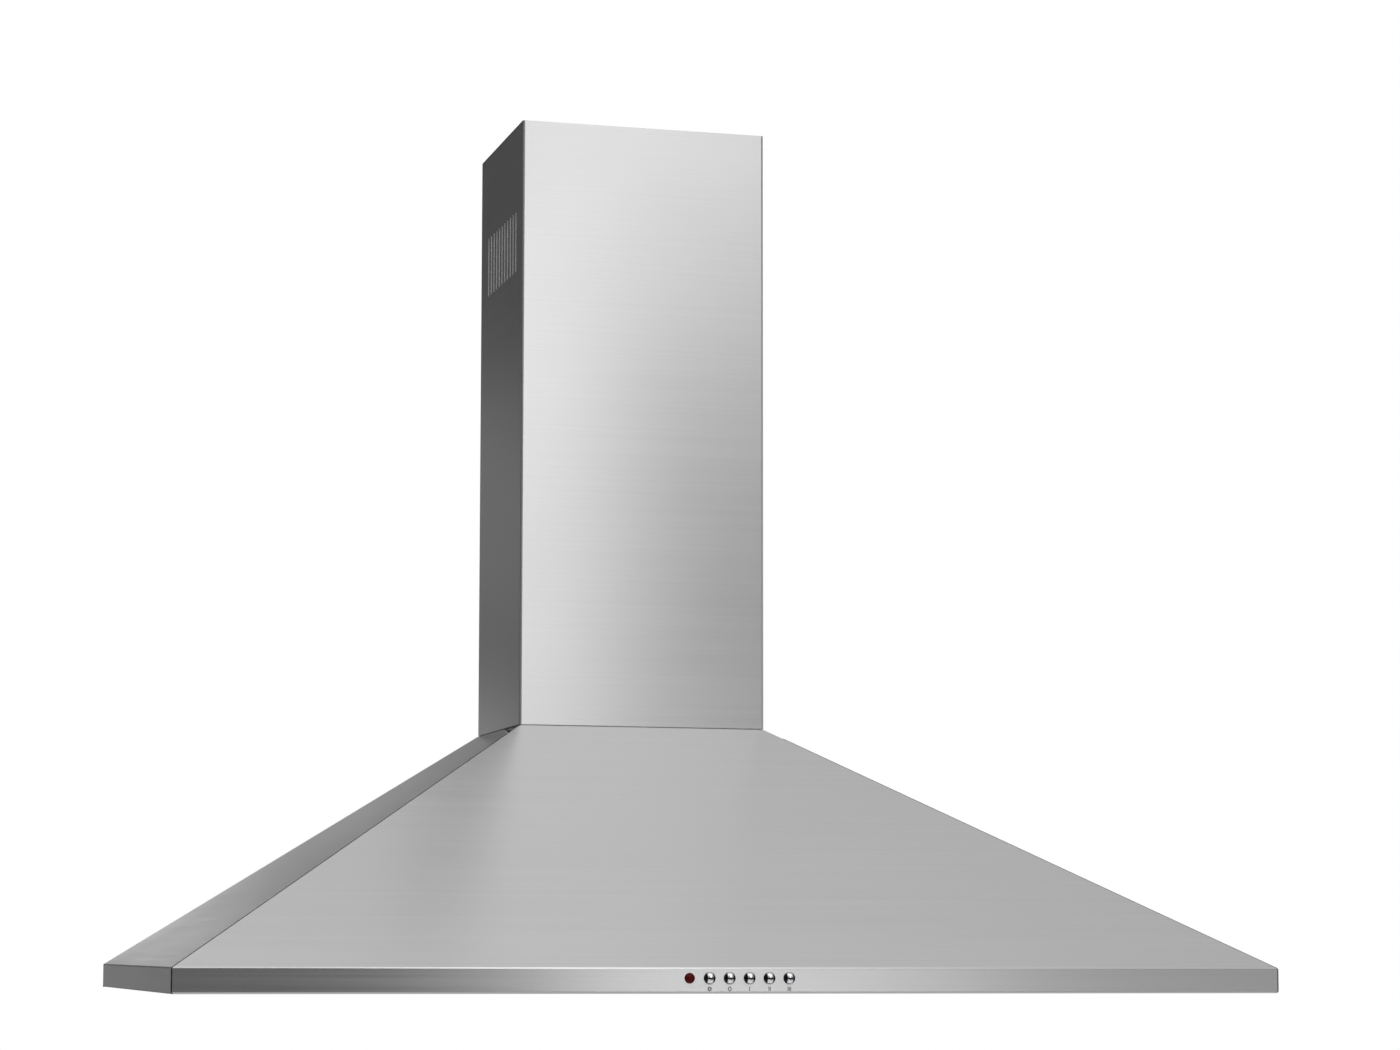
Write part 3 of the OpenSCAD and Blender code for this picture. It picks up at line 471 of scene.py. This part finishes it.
def add_floor():
    bpy.ops.mesh.primitive_plane_add(size=60, location=(0, 0, FLOOR_Z))
    floor = bpy.context.object
    floor.name = "floor"
    mat, g, bsdf = shader("pale_floor")
    grain = g.noise((2, 2, 2))
    g.link(g.tint(grain, *shade((0.95, 0.95, 0.95), 0.01)), bsdf.inputs["Base Color"])
    bsdf.inputs["Roughness"].default_value = 0.9
    floor.data.materials.append(mat)
    floor.visible_glossy = False


# How bright the room is by height, from straight down (0) to straight up (1)
ROOM_LEVELS = ((0.0, 0.5), (0.3, 0.1), (0.55, 0.1), (0.63, 0.06), (0.78, 0.43), (0.95, 0.89))


def add_world():
    """White to the camera, and a soft grey room for reflections: bright above, dim behind."""
    world = bpy.data.worlds.new("studio")
    scene.world = world
    world.use_nodes = True
    g = Graph(world.node_tree)
    out = g.node("ShaderNodeOutputWorld")
    white = g.node("ShaderNodeBackground")
    white.inputs["Color"].default_value = (1, 1, 1, 1)
    room = g.node("ShaderNodeBackground")
    direction = g.node("ShaderNodeTexCoord").outputs["Generated"]
    toward = g.axes(direction)
    ramp = g.node("ShaderNodeValToRGB")
    stops = ramp.color_ramp.elements
    stops.remove(stops[1])
    for k, (height, level) in enumerate(ROOM_LEVELS):
        stop = stops.new(height) if k else stops[0]
        stop.position = height
        stop.color = (level, level, level, 1)
    g.link(g.remap(toward["Z"], -1, 1), ramp.inputs["Fac"])

    # a pale floor and front wall, left out where the rim's front would mirror them
    ahead = g.node("ShaderNodeVectorMath", operation="DOT_PRODUCT")
    g.link(direction, ahead.inputs[0])
    ahead.inputs[1].default_value = (0.26, -0.96, 0)
    low = g.remap(toward["Z"], -0.05, -0.45, 0, 0.42)
    front = g.remap(toward["Y"], -0.1, -0.8, 0, 0.22)
    extra = g.math("MULTIPLY", g.math("ADD", low, front), g.remap(ahead.outputs["Value"], 0.95, 0.55))
    g.link(g.math("ADD", ramp.outputs["Color"], extra), room.inputs["Strength"])
    mix = g.node("ShaderNodeMixShader")
    g.link(g.node("ShaderNodeLightPath").outputs["Is Glossy Ray"], mix.inputs[0])
    g.link(white.outputs[0], mix.inputs[1])
    g.link(room.outputs[0], mix.inputs[2])
    g.link(mix.outputs[0], out.inputs["Surface"])


def softbox(name, place, size, power, aim=None):
    """A soft lamp that faces straight along Y to the wall, or towards aim."""
    aim = aim or (place[0], 0, place[2])
    data = bpy.data.lights.new(name, "AREA")
    data.shape = "RECTANGLE"
    data.size, data.size_y = size
    data.energy = power
    obj = bpy.data.objects.new(name, data)
    scene.collection.objects.link(obj)
    obj.location = place
    obj.rotation_euler = (Vector(aim) - Vector(place)).to_track_quat("-Z", "Y").to_euler()
    obj.visible_camera = False


def add_lights():
    # in front, for the chimney's front and the rim
    softbox("key_high", (0.315, -1.25, 1.1), (0.63, 0.5), 1.47)
    softbox("key_left", (0.065, -1.25, 0.55), (0.33, 0.7), 1.1)
    softbox("key_right", (0.6, -1.3, 0.6), (0.7, 0.7), 0.35)
    softbox("rim_strip", (0.33, -1.5, -0.12), (0.5, 0.45), 1.0)
    softbox("rim_right", (0.90, -1.5, -0.12), (0.6, 0.45), 0.5)
    # behind, for the left slope and the chimney's left side, which mirror them at a low angle
    softbox("behind_low", (-0.27, 2.0, 0.25), (0.35, 0.35), 0.42)
    softbox("behind_right", (0.07, 2.0, 0.42), (0.5, 0.45), 0.38)
    softbox("behind_mid", (-0.58, 2.0, 0.72), (0.4, 0.35), 0.09)
    softbox("behind_left", (-0.75, 2.0, -0.05), (0.5, 0.3), 0.1)
    # above, and from the right
    softbox("overhead", (-0.2, -0.9, 2.2), (2.3, 1.4), 5.7, aim=(0, -0.3, 0.1))
    softbox("right_wall", (2.6, -0.7, 0.6), (1.6, 1.6), 6, aim=(0, -0.7, 0.6))


add_camera()
add_world()
add_lights()
add_floor()
materials = make_materials()
dress_cad_nodes(materials)
for side in SIDES:
    expanded_metal(side, materials["mesh"])
printed_symbols(materials["ink"])
scene.view_settings.view_transform = "Standard"
